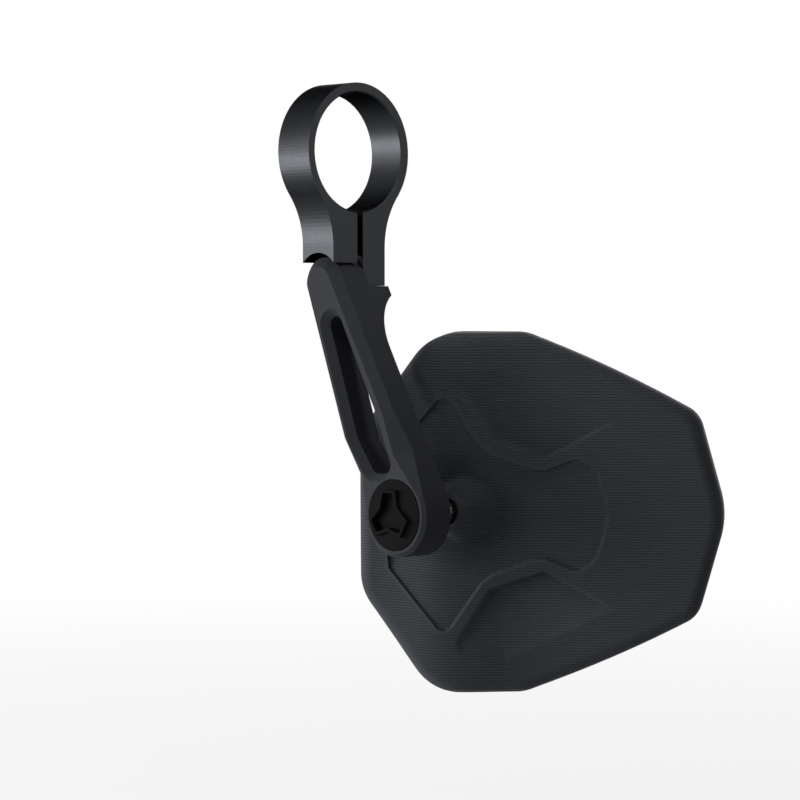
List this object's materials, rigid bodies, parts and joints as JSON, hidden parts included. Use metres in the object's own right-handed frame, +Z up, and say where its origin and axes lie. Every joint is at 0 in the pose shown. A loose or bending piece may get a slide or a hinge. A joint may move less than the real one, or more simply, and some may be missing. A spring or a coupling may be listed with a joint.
{
  "type": "motorcycle bar end mirror",
  "caption": "Motorcycle bar end mirror: a split ring clamps on the bar end, and a tapered arm with a window and a ball joint carries a ribbed, angular mirror head.",
  "frame": {"origin": "centre of the clamp bore, halfway along the clamp's width", "axes": "+X along the bore towards the outside of the machine, +Y to the rear towards the rider, +Z up"},
  "size_m": [0.0929, 0.0924, 0.1744],
  "materials": {
    "clamp_black": "black anodised, half gloss",
    "arm_black": "black anodised over a blasted surface, matt",
    "cap_black": "black anodised, satin",
    "screw_steel": "blackened, satin",
    "spring_steel": "plain, satin",
    "stud_steel": "ground, satin",
    "seat_polymer": "natural polymer, smooth",
    "sleeve_polymer": "natural polymer, smooth",
    "housing_plastic": "matt black with fine horizontal ribs",
    "insert_brass": "plain, turned",
    "pad_foam": "adhesive foam, matt",
    "mirror": "silvered glass, polished"
  },
  "bodies": {
    "bracket": {"clamp_ring": "clamp_black", "clamp_screw": "screw_steel", "arm": "arm_black", "arm_screw": "screw_steel", "joint_cap": "cap_black", "disc_spring": "spring_steel", "front_seat": "seat_polymer"},
    "sleeve": {"ball_sleeve": "sleeve_polymer"},
    "stud": {"ball_stud": "stud_steel"},
    "head": {"housing": "housing_plastic", "stud_insert": "insert_brass", "stud_washer": "spring_steel", "stud_screw": "screw_steel", "backing_pad": "pad_foam", "mirror_glass": "mirror"}
  },
  "joints": [
    {"name": "swing", "type": "hinge", "parent": "bracket", "child": "sleeve", "pos_m": [0.0305, -0.003, -0.1018], "axis": [0, 0, 1], "range_deg": [-15, 6]},
    {"name": "tilt", "type": "hinge", "parent": "sleeve", "child": "stud", "pos_m": [0.0305, -0.003, -0.1018], "axis": [1, 0, 0], "range_deg": [-12, 4]},
    {"name": "turn", "type": "hinge", "parent": "stud", "child": "head", "pos_m": [0.0305, -0.003, -0.1018], "axis": [0, 1, 0], "range_deg": [-30, 30]}
  ]
}
